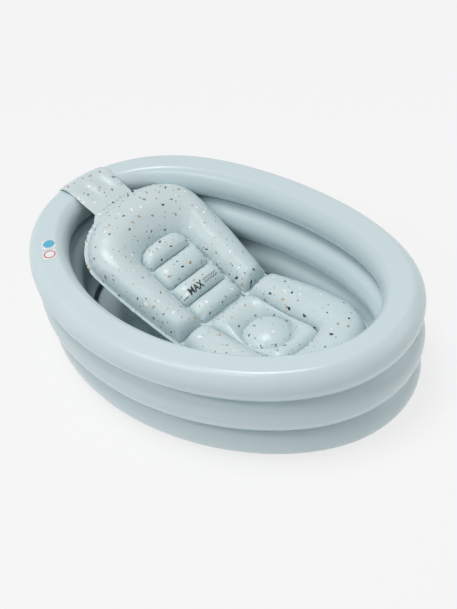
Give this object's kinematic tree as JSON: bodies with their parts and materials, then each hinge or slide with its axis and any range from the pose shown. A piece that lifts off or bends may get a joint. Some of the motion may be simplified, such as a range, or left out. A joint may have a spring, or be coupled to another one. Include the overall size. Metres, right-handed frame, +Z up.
{
  "type": "inflatable baby bathtub",
  "caption": "Oval inflatable baby bath of stacked air rings, with a lift-out reclining inflated seat held by a strap over the rim.",
  "frame": {"origin": "on the underside of the floor sheet, below the middle of the oval", "axes": "+X towards the foot end, +Y towards the side with the ring valves, +Z up out of the tub"},
  "size_m": [0.9206, 0.6164, 0.2487],
  "materials": {
    "film": "satin",
    "speckled_film": "satin",
    "clear_fittings": "gloss",
    "hook_and_loop": "matte"
  },
  "bodies": {
    "tub": {"top_ring": "film", "middle_ring": "film", "bottom_ring": "film", "upper_weld_band": "film", "lower_weld_band": "film", "floor_sheet": "film", "floor_mat": "film", "top_ring_valve_base": "clear_fittings", "middle_ring_valve_base": "clear_fittings", "bottom_ring_valve_base": "clear_fittings", "drain_base": "clear_fittings", "ring_hook_patch": "hook_and_loop"},
    "seat": {"leg_bolster": "speckled_film", "leg_bolster_valve_base": "clear_fittings", "seat_pad": "speckled_film", "seat_dome": "speckled_film", "seat_film": "speckled_film", "dome_weld_ring": "speckled_film", "crease_bead": "speckled_film"},
    "backrest": {"back_bolster": "speckled_film", "back_bolster_valve_base": "clear_fittings", "back_channel_1": "speckled_film", "back_channel_2": "speckled_film", "back_channel_3": "speckled_film", "back_channel_4": "speckled_film", "back_film": "speckled_film"},
    "strap": {"strap": "speckled_film", "strap_loop_patch": "hook_and_loop"},
    "top_ring_plug": {"top_ring_valve_plug": "clear_fittings"},
    "middle_ring_plug": {"middle_ring_valve_plug": "clear_fittings"},
    "bottom_ring_plug": {"bottom_ring_valve_plug": "clear_fittings"},
    "back_plug": {"back_bolster_valve_plug": "clear_fittings"},
    "seat_plug": {"leg_bolster_valve_plug": "clear_fittings"},
    "drain_stopper": {"drain_plug": "clear_fittings"}
  },
  "joints": [
    {"name": "seat_lift", "type": "slide", "parent": "tub", "child": "seat", "axis": [0, 0, 1], "range_m": [0, 0.26]},
    {"name": "back_fold", "type": "hinge", "parent": "seat", "child": "backrest", "pos_m": [-0.0167, 0.02, 0.0621], "axis": [0.0419, 0.9991, 0], "range_deg": [0, 35]},
    {"name": "strap_lift", "type": "hinge", "parent": "backrest", "child": "strap", "pos_m": [-0.32632, 0.03298, 0.21714], "axis": [0.0419, 0.9991, 0], "range_deg": [0, 100]},
    {"name": "top_ring_plug_pull", "type": "slide", "parent": "tub", "child": "top_ring_plug", "axis": [-0.2227, 0.9749, 0], "range_m": [0, 0.012]},
    {"name": "middle_ring_plug_pull", "type": "slide", "parent": "tub", "child": "middle_ring_plug", "axis": [-0.2227, 0.9749, 0], "range_m": [0, 0.012]},
    {"name": "bottom_ring_plug_pull", "type": "slide", "parent": "tub", "child": "bottom_ring_plug", "axis": [-0.2227, 0.9749, 0], "range_m": [0, 0.012]},
    {"name": "back_plug_pull", "type": "slide", "parent": "backrest", "child": "back_plug", "axis": [-0.4396, 0.0184, -0.898], "range_m": [0, 0.012]},
    {"name": "seat_plug_pull", "type": "slide", "parent": "seat", "child": "seat_plug", "axis": [0.9516, -0.0399, -0.3047], "range_m": [0, 0.012]},
    {"name": "drain_pull", "type": "slide", "parent": "tub", "child": "drain_stopper", "axis": [0, 0, 1], "range_m": [0, 0.02]}
  ]
}
